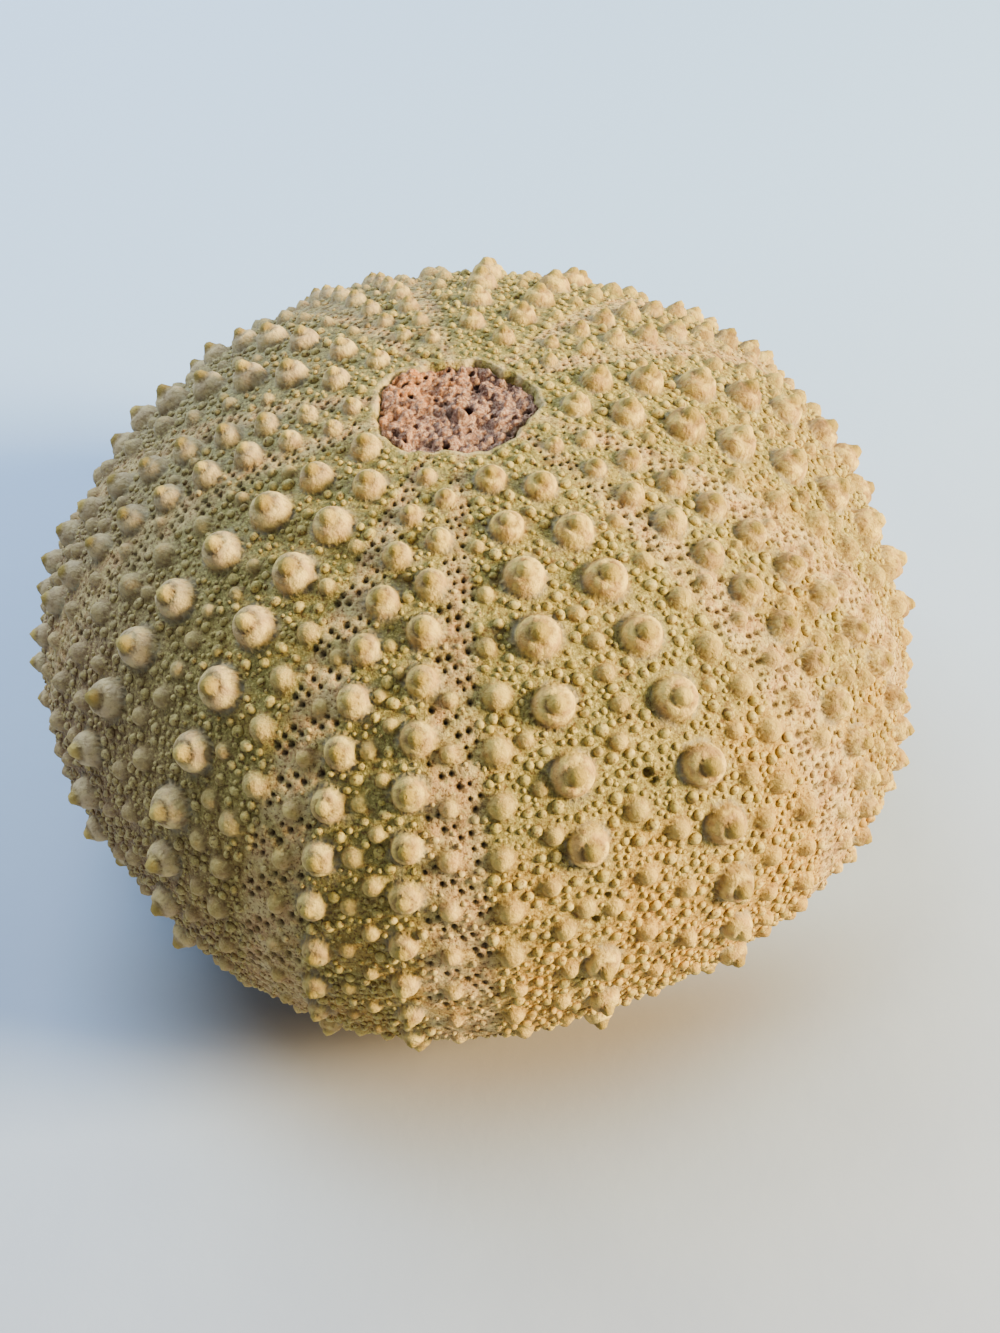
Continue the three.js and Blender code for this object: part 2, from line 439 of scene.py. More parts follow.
def fill_points(bumps, tree):
    """Even, slightly jittered points over the ground between the bumps."""
    arcs, angles = [], []
    row = FILL_START
    while row < ARC_MOUTH - 0.35:
        radius = float(radius_at(row))
        spacing = UNDERSIDE_SPACING if row > UNDERSIDE_ARC else FILL_SPACING
        count = round(2 * np.pi * radius / spacing)
        turn = (np.arange(count) + rng.uniform()) / count * 2 * np.pi
        arcs.append(row + rng.uniform(-FILL_JITTER, FILL_JITTER, count) * spacing)
        angles.append(turn + rng.uniform(-FILL_JITTER, FILL_JITTER, count) * spacing / radius)
        row += spacing * ROW_STEP
    arcs, angles = np.concatenate(arcs), np.concatenate(angles)
    places = surface(arcs, angles)[0]
    keep = arcs > 1.06 * apical_rim(angles) + 0.15
    for i, place in enumerate(places):
        if not keep[i]:
            continue
        for _, j, gap in tree.find_range(place, 2.0):
            kind, _, _, size, _ = bumps.rows[j]
            if gap < size * PROFILES[kind][0][0] + FILL_GAP:
                keep[i] = False
                break
    return arcs[keep], angles[keep]


def tree_of(places):
    tree = kdtree.KDTree(len(places))
    for i, place in enumerate(places):
        tree.insert(place, i)
    tree.balance()
    return tree


def relief(arc, angle, place):
    """Height of the ground: soft waves, plate seams, and the walls and floors of the openings."""
    height = 0.06 * waves(place, 9, 11) + 0.03 * waves(place, 2.2, 12) + 0.012 * waves(place, 0.9, 13)
    apical_share = arc / apical_rim(angle)
    mouth_share = (ARC_TOTAL - arc) / (ARC_TOTAL - ARC_MOUTH)
    for share, depth in ((apical_share, APICAL_DEPTH), (mouth_share, MOUTH_DEPTH)):
        lip = LIP_HEIGHT * smooth(0.06, 0.0, np.abs(share - 1.02))
        height = height - depth * smooth(1.0, 1 - WALL_SHARE, share) + lip
    seam = np.abs(np.abs(fifths(angle)) - SEAM_TURN) * radius_at(arc)
    return height - 0.05 * smooth(0.3, 0.0, seam) * smooth(9, 14, arc)


def height_share(kind, share):
    profile = PROFILES[kind][::-1]
    return np.interp(share, [p[0] for p in profile], [p[1] for p in profile])


MARKS = ["boss", "knob", "areole", "pore", "tint", "groove"]
GROUND_MARKS = [0, 0, 0, 0, 0.5, 0]
BOSS_STRENGTH = {"primary": 1, "middle": 0.85, "small": 0.5}
PORE_STRENGTH = {"pore": 1, "pit": 0.6}
APRON = 1.3                     # how far the ground round a bump is its own, against its size


def ring_marks(kind, share):
    """The marks of one bump's points, by their distance from its middle."""
    mark = dict.fromkeys(MARKS, np.zeros(len(share)))
    mark["tint"] = np.full(len(share), rng.uniform())
    if kind in PORE_STRENGTH:
        # The pore mark is where the material paints the shade inside a pore or pit.
        mark["pore"] = smooth(1.2, 0.6, share) * PORE_STRENGTH[kind]
        return np.column_stack([mark[name] for name in MARKS])
    mark["boss"] = smooth(1.03, 0.93, share) * BOSS_STRENGTH[kind]
    # The groove mark rings a boss's foot and, on all but the small ones, its knob's base; the material
    # paints shade there.
    mark["groove"] = 0.8 * smooth(0.86, 0.98, share) * smooth(1.2, 1.06, share)
    if kind == "small":
        mark["knob"] = 0.5 * smooth(0.6, 0.2, share)
    else:
        mark["knob"] = smooth(0.47, 0.36, share)
        mark["areole"] = smooth(1.3, 1.1, share)
        mark["groove"] = smooth(0.34, 0.42, share) * smooth(0.66, 0.5, share) + mark["groove"]
    return np.column_stack([mark[name] for name in MARKS])


def clear_of_others(bumps, tree, i, ring_place):
    """Which of a bump's points stand outside its neighbours. An earlier or larger neighbour wins."""
    size = bumps.rows[i][3]
    keep = np.ones(len(ring_place), bool)
    for _, j, gap in tree.find_range(bumps.places[i], size * APRON + 1.8):
        other = bumps.rows[j][3]
        if j != i and gap < size * APRON + other * APRON and (j < i or other > size):
            keep &= np.linalg.norm(ring_place - bumps.places[j], axis=1) > other * 1.02
    return keep


def test_points(bumps, tree):
    """Every point of the test's mesh, with its height and the marks that the material reads."""
    arcs, angles, heights, marks = [], [], [], []
    for i, (kind, arc, angle, size, height) in enumerate(bumps.rows):
        ring_arc, ring_angle, share = ring_points(kind, arc, angle, size)
        ring_place = surface(ring_arc, ring_angle)[0]
        keep = clear_of_others(bumps, tree, i, ring_place)
        lean = 1 + 0.06 * waves(ring_place, 1.3, 21)
        arcs.append(ring_arc[keep])
        angles.append(ring_angle[keep])
        heights.append((height_share(kind, share) * size * height * lean)[keep])
        marks.append(ring_marks(kind, share)[keep])
    fill_arc, fill_angle = fill_points(bumps, tree)
    apical_arc, apical_angle = rings(APICAL_RINGS, lambda share, turn: share * apical_rim(turn))
    mouth_arcs, mouth_angles = rings(MOUTH_RINGS, mouth_arc)
    ground = ((fill_arc, fill_angle), (apical_arc, apical_angle), (mouth_arcs, mouth_angles))
    for ground_arc, ground_angle in ground:
        arcs.append(ground_arc)
        angles.append(ground_angle)
        heights.append(np.zeros(len(ground_arc)))
        marks.append(np.full((len(ground_arc), len(MARKS)), GROUND_MARKS))
    return tuple(np.concatenate(parts) for parts in (arcs, angles, heights, marks))


CONFORMAL = np.r_[0, np.cumsum(np.diff(SECTION_ARC[1:-1]) * 2 / (SECTION_R[1:-2] + SECTION_R[2:-1]))]


def conformal_map(arc, angle):
    """The test opened out flat with no local distortion, so that triangles come out even."""
    grow = np.interp(arc, SECTION_ARC[1:-1], CONFORMAL)
    rho = np.exp(grow - np.interp(ARC_AMBITUS, SECTION_ARC[1:-1], CONFORMAL))
    return rho * np.cos(angle), rho * np.sin(angle)


def triangulate(x, y):
    """Delaunay triangles of points in a plane, as rows of three indices."""
    flat = [Vector((a, b)) for a, b in zip(x.tolist(), y.tolist())]
    _, _, faces, origin, _, _ = geometry.delaunay_2d_cdt(flat, [], [], 0, 0.0)
    first = np.array([o[0] for o in origin])
    return first[np.array(faces)]


def boundary_fan(triangles, centre):
    """Triangles from every open edge to a centre point."""
    edges = np.concatenate([triangles[:, [0, 1]], triangles[:, [1, 2]], triangles[:, [2, 0]]])
    size = int(triangles.max()) + 1
    forward = edges[:, 0] * size + edges[:, 1]
    backward = edges[:, 1] * size + edges[:, 0]
    open_edges = edges[~np.isin(forward, backward)]
    return np.column_stack([open_edges[:, 1], open_edges[:, 0], np.full(len(open_edges), centre)])


def volume(points, triangles):
    a, b, c = (points[triangles[:, i]] for i in range(3))
    return float(np.einsum("ij,ij->", a, np.cross(b, c))) / 6


def closed_outward(points, triangles):
    return triangles if volume(points, triangles) > 0 else triangles[:, ::-1]


# Two discs on one square: the side seen from above, and the underside.
UPPER_DISC = (0.315, 0.685, 0.305)
LOWER_DISC = (0.72, 0.28, 0.27)


def disc_uv(arc, angle, upper):
    """Places on the texture square; upper says which disc."""
    reach = np.where(upper, arc / ARC_AMBITUS, (ARC_TOTAL - arc) / (ARC_TOTAL - ARC_AMBITUS))
    centre_x = np.where(upper, UPPER_DISC[0], LOWER_DISC[0])
    centre_y = np.where(upper, UPPER_DISC[1], LOWER_DISC[1])
    size = np.where(upper, UPPER_DISC[2], LOWER_DISC[2]) * reach
    return np.stack([centre_x + size * np.sin(angle), centre_y - size * np.cos(angle)], axis=-1)


def make_piece(name, points, triangles, material, uv, marks=None):
    """A smooth-shaded mesh object in metres that rides on the body root."""
    mesh = bpy.data.meshes.new(name)
    mesh.vertices.add(len(points))
    mesh.vertices.foreach_set("co", (points * MM).astype(np.float32).ravel())
    mesh.loops.add(triangles.size)
    mesh.loops.foreach_set("vertex_index", triangles.astype(np.int32).ravel())
    mesh.polygons.add(len(triangles))
    mesh.polygons.foreach_set("loop_start", np.arange(0, triangles.size, 3, dtype=np.int32))
    mesh.polygons.foreach_set("use_smooth", np.ones(len(triangles), bool))
    layer = mesh.uv_layers.new(name="OFBake")
    layer.data.foreach_set("uv", uv.astype(np.float32).ravel())
    for mark, values in (marks or {}).items():
        attribute = mesh.attributes.new(mark, "FLOAT", "POINT")
        attribute.data.foreach_set("value", values.astype(np.float32))
    mesh.update(calc_edges=True)
    mesh.validate()
    mesh.materials.append(material)
    piece = bpy.data.objects.new(name, mesh)
    bpy.context.scene.collection.objects.link(piece)
    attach(piece, "root")
    return piece


def make_test(bumps, tree, material):
    arc, angle, height, marks = test_points(bumps, tree)
    place, normal = surface(arc, angle)
    points = place + normal * (height + relief(arc, angle, place))[:, None]
    points[:, 2] = np.maximum(points[:, 2], 0)
    triangles = triangulate(*conformal_map(arc, angle))
    used = np.unique(triangles)
    again = np.full(len(points), -1)
    again[used] = np.arange(len(used))
    triangles = again[triangles]
    points, arc, angle, marks = points[used], arc[used], angle[used], marks[used]
    triangles = np.concatenate([triangles, boundary_fan(triangles, len(points))])
    points = np.concatenate([points, [[0, 0, SECTION_Z[-1] + MOUTH_DEPTH]]])
    arc, angle = np.r_[arc, ARC_TOTAL], np.r_[angle, 0]
    marks = np.concatenate([marks, np.zeros((1, marks.shape[1]))])
    triangles = closed_outward(points, triangles)
    upper = np.repeat(arc[triangles].mean(axis=1) < ARC_AMBITUS, 3)
    uv = disc_uv(arc[triangles].ravel(), angle[triangles].ravel(), upper)
    values = {name: marks[:, i] for i, name in enumerate(MARKS)}
    values["porous"] = porous(angle)
    values["rim"] = smooth(0.07, 0.02, np.abs(arc / apical_rim(angle) - 0.99))
    return make_piece("test", points, triangles, material, uv, values)


def porous(angle):
    """1 in the pore zones, 0 outside them."""
    off = np.abs(fifths(angle))
    inside = smooth(PORE_ZONE_INNER - PORE_ZONE_EDGE, PORE_ZONE_INNER + PORE_ZONE_EDGE, off)
    return inside * smooth(PORE_ZONE_OUTER + PORE_ZONE_EDGE, PORE_ZONE_OUTER - PORE_ZONE_EDGE, off)


# ---- granules

# Half widths tried one after another, with how many places are tried for each.
GRANULE_CLASSES = [(0.36, 5000), (0.30, 8000), (0.24, 14000), (0.19, 20000), (0.15, 24000)]
HASH_CELL = 0.8
LARGEST_IN_PORES = 0.26
OPENING_GAP = 0.15
BEAD_FOOT = -0.30               # heights against the half width
BEAD_TOP = 0.92
GRANULE_RINGS = [(1.0, BEAD_FOOT), (0.97, 0.15), (0.74, 0.58), (0.38, 0.84)]
COARSE = 0.22                   # half width from which a granule is a coarse one
COARSE_SIDES = 8
FINE_SIDES = 6

# How far out granules start round each kind of bump, against its size.
BUMP_EDGES = {"primary": 1.13, "middle": 1.08, "small": 1.04, "pore": 1.3, "pit": 1.15}


def random_places(count):
    """Places spread over the whole of the test's outside."""
    weight = np.cumsum(SECTION_R)
    arcs = np.interp(rng.uniform(0, weight[-1], count), weight, SECTION_ARC)
    return arcs, rng.uniform(0, 2 * np.pi, count)


def lay_granules(bumps, tree):
    cells = {}
    rows = []
    for size, tries in GRANULE_CLASSES:
        arcs, angles = random_places(tries)
        places = surface(arcs, angles)[0]
        in_pores = porous(angles) > 0.5
        rims = apical_rim(angles)
        sizes = size * rng.uniform(0.88, 1.1, tries)
        for i in range(tries):
            reach = sizes[i]
            if in_pores[i] and (reach > LARGEST_IN_PORES or i % 3):
                continue
            if arcs[i] < rims[i] + reach + OPENING_GAP or arcs[i] > ARC_MOUTH - reach:
                continue
            if blocked(bumps, tree, places[i], reach) or not claim(cells, places[i], reach):
                continue
            rows.append((arcs[i], angles[i], reach))
    return np.array(rows)


def blocked(bumps, tree, place, reach):
    for _, j, gap in tree.find_range(place, 2.2):
        kind, _, _, size, _ = bumps.rows[j]
        if gap < size * BUMP_EDGES[kind] + reach * 0.92:
            return True
    return False


def claim(cells, place, reach):
    """Takes a place for a granule if none that is already there comes too near."""
    x, y, z = place
    home = (int(x // HASH_CELL), int(y // HASH_CELL), int(z // HASH_CELL))
    for i in (-1, 0, 1):
        for j in (-1, 0, 1):
            for k in (-1, 0, 1):
                for other in cells.get((home[0] + i, home[1] + j, home[2] + k), ()):
                    gap = (other[0] - x) ** 2 + (other[1] - y) ** 2 + (other[2] - z) ** 2
                    if gap < (0.97 * (other[3] + reach)) ** 2:
                        return False
    cells.setdefault(home, []).append((x, y, z, reach))
    return True


def bead_template(sides):
    """Closed bead: points as (ring share, height share, turn), and its triangles."""
    rows = [(0, BEAD_FOOT, 0)]
    for share, height in GRANULE_RINGS:
        rows += [(share, height, 2 * np.pi * k / sides) for k in range(sides)]
    rows.append((0, BEAD_TOP, 0))
    top = len(rows) - 1
    faces = []
    for k in range(sides):
        after = (k + 1) % sides
        faces.append((0, 1 + after, 1 + k))
        for band in range(len(GRANULE_RINGS) - 1):
            low, high = 1 + band * sides, 1 + (band + 1) * sides
            faces += [(low + k, low + after, high + after), (low + k, high + after, high + k)]
        faces.append((top - sides + k, top - sides + after, top))
    return np.array(rows), np.array(faces)


def make_granules(name, rows, sides, material):
    template, faces = bead_template(sides)
    arc, angle, size = rows.T
    count, each = len(rows), len(template)
    place, normal = surface(arc, angle)
    place = place + normal * relief(arc, angle, place)[:, None]
    along = np.stack([np.cos(angle), np.sin(angle), np.zeros(count)], axis=-1)
    down = np.cross(along, normal)
    turn = template[None, :, 2] + rng.uniform(0, 2 * np.pi, count)[:, None]
    squash = rng.uniform(0.88, 1.1, (count, 1))
    lift = rng.uniform(0.75, 1.15, (count, 1))
    east = template[None, :, 0] * np.cos(turn) * size[:, None] * squash
    south = template[None, :, 0] * np.sin(turn) * size[:, None] / squash
    up = template[None, :, 1] * size[:, None] * lift
    points = (place[:, None] + east[..., None] * along[:, None] + south[..., None] * down[:, None]
              + up[..., None] * normal[:, None]).reshape(-1, 3)
    points += normal.repeat(each, axis=0) * (0.02 * waves(points, 0.5, 31))[:, None]
    points[:, 2] = np.maximum(points[:, 2], 0)
    triangles = (faces[None] + (np.arange(count) * each)[:, None, None]).reshape(-1, 3)
    triangles = closed_outward(points, triangles)
    vertex_arc = (arc[:, None] + south).ravel()
    vertex_angle = (angle[:, None] + east / radius_at(arc)[:, None]).ravel()
    upper = np.repeat(np.repeat(arc < ARC_AMBITUS, each)[triangles[:, 0]], 3)
    uv = disc_uv(vertex_arc[triangles].ravel(), vertex_angle[triangles].ravel(), upper)
    values = {"tint": rng.uniform(0, 1, count).repeat(each), "crown": np.tile(template[:, 1], count),
              "porous": porous(angle).repeat(each)}
    return make_piece(name, points, triangles, material, uv, values)


# ---- rock in the openings

ROCK_SPACING = 0.085
MOUTH_ROCK_SPACING = 2 * ROCK_SPACING
GRID_JITTER = 0.25              # share of the spacing
LUMPS = (420, 0.22, 0.5, 0.42)  # count, smallest and largest half width, height
GRAINS = (1500, 0.08, 0.2, 0.16)
PITS = (70, 0.1, 0.26, 0.5)
BOSS_PLACE = (0.1, -0.5)        # a low boss near the middle of the apical rock
CRATER_PLACE = (0.2, -0.65)     # and the hollow in it
ROCK_EDGE_DROP = 0.9
ROCK_BACK = 1.4                 # depth of the point behind the rock that closes it


def lumps(x, y, reach, kind, seed):
    """Heights of many overlapping round lumps over points in a plane."""
    count, low, high, height = kind
    draw = np.random.default_rng(seed)
    spread = reach * np.sqrt(draw.uniform(0, 1, count))
    turn = draw.uniform(0, 2 * np.pi, count)
    centre_x, centre_y = spread * np.cos(turn), spread * np.sin(turn)
    size = draw.uniform(low, high, count)
    rise = draw.uniform(0.4, 1.0, count) * height
    best = np.zeros(len(x))
    for cx, cy, s, h in zip(centre_x, centre_y, size, rise):
        share = 1 - ((x - cx) ** 2 + (y - cy) ** 2) / s ** 2
        inside = share > 0
        best[inside] = np.maximum(best[inside], h * np.sqrt(share[inside]))
    return best


def disc_grid(reach, spacing):
    """Jittered points over a disc of unit shape, as turn and share of the edge."""
    shares, turns = [], []
    row = spacing
    while row < reach - 0.4 * spacing:
        count = max(6, round(2 * np.pi * row / spacing))
        turns.append((np.arange(count) + rng.uniform()) / count * 2 * np.pi)
        shares.append((row + rng.uniform(-GRID_JITTER, GRID_JITTER, count) * spacing) / reach)
        row += spacing * ROW_STEP
    count = round(2 * np.pi * reach / spacing)
    turns.append(np.arange(count) / count * 2 * np.pi)
    shares.append(np.ones(count))
    return np.concatenate(turns), np.concatenate(shares)


def make_rock(name, edge_of_turn, level, facing, seed, spacing, material):
    """Rough rock that fills an opening; level gives its smooth height, facing is 1 up or -1 down."""
    turn, share = disc_grid(float(edge_of_turn(np.array([0.0]))[0]), spacing)
    edge = edge_of_turn(turn)
    x, y = share * edge * np.sin(turn), -share * edge * np.cos(turn)
    reach = float(edge.max())
    flat = np.column_stack([x, y, np.zeros(len(x))])
    rough = lumps(x, y, reach, LUMPS, seed) + lumps(x, y, reach, GRAINS, seed + 1)
    rough += 0.16 * waves(flat, 2.4, seed + 2) + 0.05 * waves(flat, 0.5, seed + 3)
    pits = lumps(x, y, reach, PITS, seed + 4)
    rough -= pits
    # hollow marks the dips, pits and crater, which the material darkens as painted shade.
    hollow = np.clip(-rough, 0, 1) + pits
    if facing > 0:
        boss = smooth(1.15, 0.5, np.hypot(x - BOSS_PLACE[0], y - BOSS_PLACE[1]))
        crater = smooth(0.42, 0.1, np.hypot(x - CRATER_PLACE[0], y - CRATER_PLACE[1]))
        rough += 0.45 * boss - 0.75 * crater
        hollow += 1.2 * crater
    z = level(x, y) + facing * rough - facing * ROCK_EDGE_DROP * smooth(0.93, 1.0, share)
    points = np.column_stack([x, y, z])
    triangles = triangulate(x, y)
    triangles = np.concatenate([triangles, boundary_fan(triangles, len(points))])
    points = np.concatenate([points, [[0, 0, float(level(0.0, 0.0)) - facing * ROCK_BACK]]])
    triangles = closed_outward(points, triangles)
    uv = 0.5 + 0.48 * points[:, :2] / reach
    values = {"hollow": np.r_[hollow, 0]}
    return make_piece(name, points, triangles, material, uv[triangles.ravel()], values)


RIM_Z = float(np.interp(APICAL_RADIUS, SECTION_ARC, SECTION_Z))


def apical_rock_edge(turn):
    return 0.985 * apical_rim(turn)


def mouth_rock_edge(turn):
    return 0.97 * MOUTH_RADIUS * np.ones_like(turn)


def apical_level(x, y):
    """Nearly level with the rim on the left, and sunk on the right and in front."""
    return RIM_Z - 0.5 - 0.04 * (x + 2) + 0.01 * y


def mouth_level(x, y):
    return REST_GAP + MOUTH_LIP_RISE + 0.75 + 0 * x


# ---- materials

def linear(*display):
    """Linear colour of 0-255 display values."""
    shares = [value / 255 for value in display]
    return tuple(c / 12.92 if c <= 0.04045 else ((c + 0.055) / 1.055) ** 2.4 for c in shares) + (1,)


class Paint:
    """Short calls for building one material's nodes. Sizes and distances are millimetres."""

    # Sockets of the mix node that carry colours.
    COLOUR_A = 6
    COLOUR_B = 7
    COLOUR_OUT = 2

    def __init__(self, name, roughness, specular):
        self.material = bpy.data.materials.new(name)
        self.material.use_nodes = True
        self.tree = self.material.node_tree
        self.shader = self.tree.nodes["Principled BSDF"]
        self.shader.inputs["Roughness"].default_value = roughness
        self.shader.inputs["Specular IOR Level"].default_value = specular
        self.place = self.tree.nodes.new("ShaderNodeTexCoord").outputs["Object"]

    def link(self, value, socket):
        """Links another node's output to a socket, or sets the socket to a plain value."""
        if isinstance(value, bpy.types.NodeSocket):
            self.tree.links.new(value, socket)
        else:
            socket.default_value = value

    def mark(self, name):
        """A mark that the mesh carries at its points."""
        node = self.tree.nodes.new("ShaderNodeAttribute")
        node.attribute_name = name
        return node.outputs["Fac"]

    def noise(self, size, detail=3.0, roughness=0.55):
        """Noise of a grain size, 0 to 1."""
        node = self.tree.nodes.new("ShaderNodeTexNoise")
        node.inputs["Scale"].default_value = 1 / (size * MM)
        node.inputs["Detail"].default_value = detail
        node.inputs["Roughness"].default_value = roughness
        self.link(self.place, node.inputs["Vector"])
        return node.outputs["Fac"]

    def band(self, value, low, high, to_low=0.0, to_high=1.0):
        """value from low..high to to_low..to_high, smoothly and clamped."""
        node = self.tree.nodes.new("ShaderNodeMapRange")
        node.interpolation_type = "SMOOTHSTEP"
        self.link(value, node.inputs["Value"])
        node.inputs["From Min"].default_value = low
        node.inputs["From Max"].default_value = high
        node.inputs["To Min"].default_value = to_low
        node.inputs["To Max"].default_value = to_high
        return node.outputs["Result"]

    def times(self, a, b):
        return self.math("MULTIPLY", a, b)

    def math(self, operation, a, b):
        node = self.tree.nodes.new("ShaderNodeMath")
        node.operation = operation
        self.link(a, node.inputs[0])
        self.link(b, node.inputs[1])
        return node.outputs[0]

    def mix(self, share, a, b):
        """Colour a where share is 0, and b where it is 1."""
        node = self.tree.nodes.new("ShaderNodeMix")
        node.data_type = "RGBA"
        self.link(share, node.inputs["Factor"])
        self.link(a, node.inputs[self.COLOUR_A])
        self.link(b, node.inputs[self.COLOUR_B])
        return node.outputs[self.COLOUR_OUT]

    def across(self, direction, low, high):
        """0 to 1 along a direction, between two distances from the origin."""
        node = self.tree.nodes.new("ShaderNodeVectorMath")
        node.operation = "DOT_PRODUCT"
        self.link(self.place, node.inputs[0])
        node.inputs[1].default_value = Vector(direction).normalized()
        return self.band(node.outputs["Value"], low * MM, high * MM)

    def round_origin(self, near, far):
        """1 near the origin, falling to 0 between two distances from it."""
        node = self.tree.nodes.new("ShaderNodeVectorMath")
        node.operation = "LENGTH"
        self.link(self.place, node.inputs[0])
        return self.band(node.outputs["Value"], near * MM, far * MM, 1.0, 0.0)

    def finish(self, colour, bumps):
        """Sets the shader's colour and relief; bumps are pairs of a height socket and its depth."""
        self.link(colour, self.shader.inputs["Base Color"])
        normal = None
        for height, depth in bumps:
            node = self.tree.nodes.new("ShaderNodeBump")
            node.inputs["Distance"].default_value = depth * MM
            self.link(height, node.inputs["Height"])
            if normal is not None:
                self.link(normal, node.inputs["Normal"])
            normal = node.outputs["Normal"]
        self.link(normal, self.shader.inputs["Normal"])
        return self.material


OLIVE = linear(136, 124, 62)
OCHRE = linear(172, 136, 58)
GREY_GREEN = linear(150, 141, 110)
AMBER = linear(180, 130, 44)
PORE_PALE = linear(196, 170, 114)
PORE_PINK = linear(178, 138, 90)
CREAM = linear(226, 194, 102)
BLUSH = linear(186, 148, 84)
KNOB = linear(152, 127, 48)
PORE_DARK = linear(44, 28, 15)
BEAD = linear(172, 152, 62)
BEAD_PALE = linear(190, 168, 90)
BEAD_GREY = linear(160, 142, 108)
UMBER = linear(88, 58, 26)
DUST = linear(204, 184, 108)
LIP = linear(198, 176, 126)
PALE_GREY = linear(200, 180, 146)
RUSSET = linear(140, 98, 62)
WORN_BROWN = linear(124, 92, 56)
TAUPE = linear(142, 110, 80)


def ground_colour(paint):
    """Olive ground, warmer to the right and low down, browner to the left, with pale pore zones."""
    # Partly the test's own ochre, partly painted warm light from the right: the ground turns ochre towards
    # the lower right front.
    warm = paint.times(paint.across((0.8, -0.35, -0.7), -18, 24), 0.85)
    warm = paint.math("ADD", warm, paint.band(paint.noise(5), 0.35, 0.7, -0.25, 0.4))
    base = paint.mix(paint.band(warm, 0.0, 1.0), OLIVE, OCHRE)
    # Painted cool light: the ground turns grey-green towards the left and back, where the bluish window
    # light falls.
    base = paint.mix(paint.times(paint.across((-0.85, 0.5, 0.1), 2, 24), 0.6), base, GREY_GREEN)
    low_down = paint.across((0.1, -0.4, -0.9), -15, 4)
    base = paint.mix(paint.times(paint.band(paint.noise(3.5), 0.2, 0.7), low_down), base, AMBER)
    # Partly the test's own tone, partly painted shade: browner low on the left and in patches to the left,
    # the side away from the warm key.
    low_left = paint.across((-0.9, -0.1, -0.5), 9, 23)
    brown = paint.times(paint.band(paint.noise(4), 0.3, 0.6), low_left)
    base = paint.mix(paint.times(brown, 0.75), base, RUSSET)
    patches = paint.band(paint.noise(3), 0.25, 0.6, 0.55, 0.95)
    base = paint.mix(paint.times(paint.across((-1, -0.2, -0.3), 5, 21), patches), base, TAUPE)
    pale = paint.mix(paint.band(paint.noise(1.1), 0.35, 0.65), PORE_PALE, PORE_PINK)
    dusting = paint.band(paint.noise(1.6, 5.0), 0.36, 0.56, 0.25, 0.9)
    return paint.mix(paint.times(paint.mark("porous"), dusting), base, pale)


def speckled(paint, colour):
    """Adds dust-fine pale and brown specks, and brown stains, most of them on the right."""
    grain = paint.noise(0.2, 4.0, 0.7)
    colour = paint.mix(paint.band(grain, 0.49, 0.36, 0.0, 0.9), colour, UMBER)
    colour = paint.mix(paint.band(grain, 0.53, 0.66, 0.0, 0.8), colour, DUST)
    colour = paint.mix(paint.band(paint.noise(1.3, 5.0, 0.65), 0.56, 0.68, 0.0, 0.6), colour, UMBER)
    stain = paint.band(paint.noise(0.7, 5.0, 0.7), 0.5, 0.64)
    stain = paint.times(stain, paint.across((1, 0.2, 0), 8, 22))
    return paint.mix(paint.times(stain, 0.6), colour, UMBER)


def test_material():
    paint = Paint("test_calcite", 0.78, 0.25)
    fine = paint.noise(0.16, 4.0, 0.65)
    ground = speckled(paint, ground_colour(paint))
    areole = paint.mix(paint.band(paint.noise(0.9), 0.4, 0.6), GREY_GREEN, ground)
    colour = paint.mix(paint.mark("areole"), ground, areole)
    boss = paint.mix(paint.band(paint.noise(0.8, 4.0), 0.4, 0.62), CREAM, BLUSH)
    # Painted cool light: bosses turn pale grey towards the left.
    boss = paint.mix(paint.times(paint.across((-1, 0.3, 0), -4, 20), 0.7), boss, PALE_GREY)
    boss = paint.mix(paint.band(paint.noise(0.35, 5.0, 0.7), 0.5, 0.68, 0.0, 0.45), boss, UMBER)
    worn = paint.band(paint.noise(0.9, 4.0), 0.4, 0.6)
    worn = paint.times(paint.across((1, 0.1, 0), 0, 20), worn)
    worn = paint.times(worn, paint.band(paint.mark("tint"), 0.1, 0.9, 0.25, 0.85))
    boss = paint.mix(worn, boss, WORN_BROWN)
    colour = paint.mix(paint.times(paint.mark("boss"), 0.95), colour, boss)
    knob = paint.mix(paint.band(paint.mark("tint"), 0.0, 0.7, 0.35, 1.0), CREAM, KNOB)
    colour = paint.mix(paint.times(paint.mark("knob"), 0.85), colour, knob)
    # Painted shade: the grooves at a boss's foot and round its knob are darkened towards umber in noisy
    # patches.
    painted_groove_shade = paint.band(paint.noise(0.7), 0.35, 0.6, 0.15, 0.7)
    colour = paint.mix(paint.times(paint.mark("groove"), painted_groove_shade), colour, UMBER)
    chalk = paint.band(paint.noise(1.0), 0.4, 0.62, 0.0, 0.8)
    colour = paint.mix(paint.times(paint.mark("rim"), chalk), colour, LIP)
    # Painted shade: pores and pits are painted near black for the shade inside their holes.
    colour = paint.mix(paint.mark("pore"), colour, PORE_DARK)
    return paint.finish(colour, [(fine, 0.07), (paint.noise(0.4, 3.0), 0.16)])


